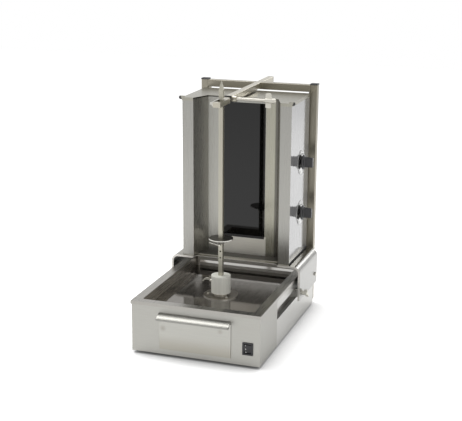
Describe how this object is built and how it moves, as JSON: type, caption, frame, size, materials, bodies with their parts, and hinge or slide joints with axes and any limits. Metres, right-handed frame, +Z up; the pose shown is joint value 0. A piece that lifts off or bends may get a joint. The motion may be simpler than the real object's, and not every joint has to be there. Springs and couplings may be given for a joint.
{
  "type": "electric skewer grill",
  "caption": "Table-top upright skewer grill: drip base with a drawer and turning hub, glass-fronted heater housing on a sliding carriage, and a rear frame with a skewer arm",
  "frame": {"origin": "on the table, under the middle of the base", "axes": "+X to the right seen from the drawer, +Y from the drawer to the rear posts, +Z up"},
  "size_m": [0.518, 0.8704, 0.9054],
  "materials": {
    "satin_steel": "brushed, satin",
    "tray_steel": "polished, scratched",
    "frame_steel": "ground, slightly warm",
    "machined_aluminium": "turned, matt",
    "bright_steel": "bright zinc or polished steel",
    "cast_grey": "grey enamel",
    "black_plastic": "moulded, fine grain",
    "pale_plastic": "natural nylon",
    "black_rubber": "matt",
    "ceramic_glass": "black glass-ceramic, glossy",
    "heater_tube": "oxidised alloy sheath",
    "insulation": "pressed mineral board, stands in for fibre"
  },
  "bodies": {
    "base": {"front_panel": "satin_steel", "side_panel_right": "satin_steel", "side_panel_left": "satin_steel", "back_panel": "satin_steel", "bottom_plate": "satin_steel", "rubber_feet": "black_rubber", "drip_tray": "tray_steel", "guide_rail_right": "satin_steel", "guide_rail_left": "satin_steel", "drawer_runners": "satin_steel", "switch_housing": "black_plastic", "terminal_block": "pale_plastic", "supply_gland": "black_plastic", "hub_flange": "bright_steel", "drive_bearing": "bright_steel", "flange_screws": "bright_steel", "motor_bracket": "satin_steel", "gear_motor": "cast_grey", "rear_posts": "frame_steel", "post_caps": "black_plastic", "post_bolts": "bright_steel", "crossbar": "frame_steel", "outer_arm": "frame_steel", "arm_plug": "black_plastic"},
    "drawer": {"drawer_front": "satin_steel", "drawer_handle": "bright_steel", "drawer_box": "satin_steel"},
    "rotor": {"drive_shaft": "bright_steel", "hub": "machined_aluminium"},
    "thumb_screw": {"hub_thumb_screw": "bright_steel"},
    "skewer_bar": {"skewer": "frame_steel"},
    "plate": {"meat_plate": "bright_steel"},
    "pin": {"plate_pin": "bright_steel"},
    "carriage": {"saddle": "satin_steel", "slide_shoes": "pale_plastic", "guide_pins": "bright_steel", "housing_floor": "satin_steel", "housing_front_panel": "satin_steel", "housing_side_left": "satin_steel", "housing_side_right": "satin_steel", "housing_back_panel": "satin_steel", "top_cover": "satin_steel", "splash_panel": "satin_steel", "glass_panel": "ceramic_glass", "glass_clips": "bright_steel", "reflector": "bright_steel", "insulation_board": "insulation", "heating_zone_upper": "heater_tube", "heating_zone_lower": "heater_tube", "element_brackets": "satin_steel", "regulators": "black_plastic", "dial_plates": "black_plastic"},
    "lock": {"carriage_lock_screw": "bright_steel"},
    "upper_knob": {"knob_upper": "black_plastic"},
    "lower_knob": {"knob_lower": "black_plastic"},
    "arm": {"inner_arm": "frame_steel"},
    "gate": {"gate_latch": "bright_steel"},
    "clamp": {"clamp_screw": "bright_steel"},
    "rocker": {"switch_rocker": "black_plastic"}
  },
  "joints": [
    {"name": "drawer_slide", "type": "slide", "parent": "base", "child": "drawer", "axis": [0, -1, 0], "range_m": [0, 0.15]},
    {"name": "carriage_slide", "type": "slide", "parent": "base", "child": "carriage", "axis": [0, -1, 0], "range_m": [-0.015, 0.08]},
    {"name": "rotor_spin", "type": "hinge", "parent": "base", "child": "rotor", "pos_m": [0, -0.074, 0], "axis": [0, 0, 1], "continuous": true},
    {"name": "thumb_screw_turn", "type": "hinge", "parent": "rotor", "child": "thumb_screw", "pos_m": [-0.034, -0.074, 0.1981], "axis": [1, 0, 0], "range_deg": [-90, 90]},
    {"name": "skewer_lift", "type": "slide", "parent": "rotor", "child": "skewer_bar", "axis": [0, 0, 1], "range_m": [0, 0.04]},
    {"name": "plate_lift", "type": "slide", "parent": "skewer_bar", "child": "plate", "axis": [0, 0, 1], "range_m": [0, 0.4]},
    {"name": "pin_pull", "type": "slide", "parent": "skewer_bar", "child": "pin", "axis": [0, -1, 0], "range_m": [0, 0.03]},
    {"name": "lock_screw_turn", "type": "hinge", "parent": "carriage", "child": "lock", "pos_m": [0.246, 0.118, 0.122], "axis": [1, 0, 0], "range_deg": [0, 180]},
    {"name": "knob_upper_turn", "type": "hinge", "parent": "carriage", "child": "upper_knob", "pos_m": [0.202, 0.222, 0.581], "axis": [1, 0, 0], "range_deg": [0, 270]},
    {"name": "knob_lower_turn", "type": "hinge", "parent": "carriage", "child": "lower_knob", "pos_m": [0.202, 0.222, 0.393], "axis": [1, 0, 0], "range_deg": [0, 270]},
    {"name": "arm_slide", "type": "slide", "parent": "base", "child": "arm", "axis": [0, 1, 0], "range_m": [0, 0.025]},
    {"name": "gate_swing", "type": "hinge", "parent": "arm", "child": "gate", "pos_m": [-0.0173, -0.05689, 0.8315], "axis": [0, 0, -1], "range_deg": [0, 90]},
    {"name": "clamp_turn", "type": "hinge", "parent": "base", "child": "clamp", "pos_m": [0.009, 0.018, 0.8315], "axis": [1, 0, 0], "range_deg": [0, 180]},
    {"name": "rocker_rock", "type": "hinge", "parent": "base", "child": "rocker", "pos_m": [0.1855, -0.3336, 0.069], "axis": [-1, 0, 0], "range_deg": [0, 14]}
  ]
}
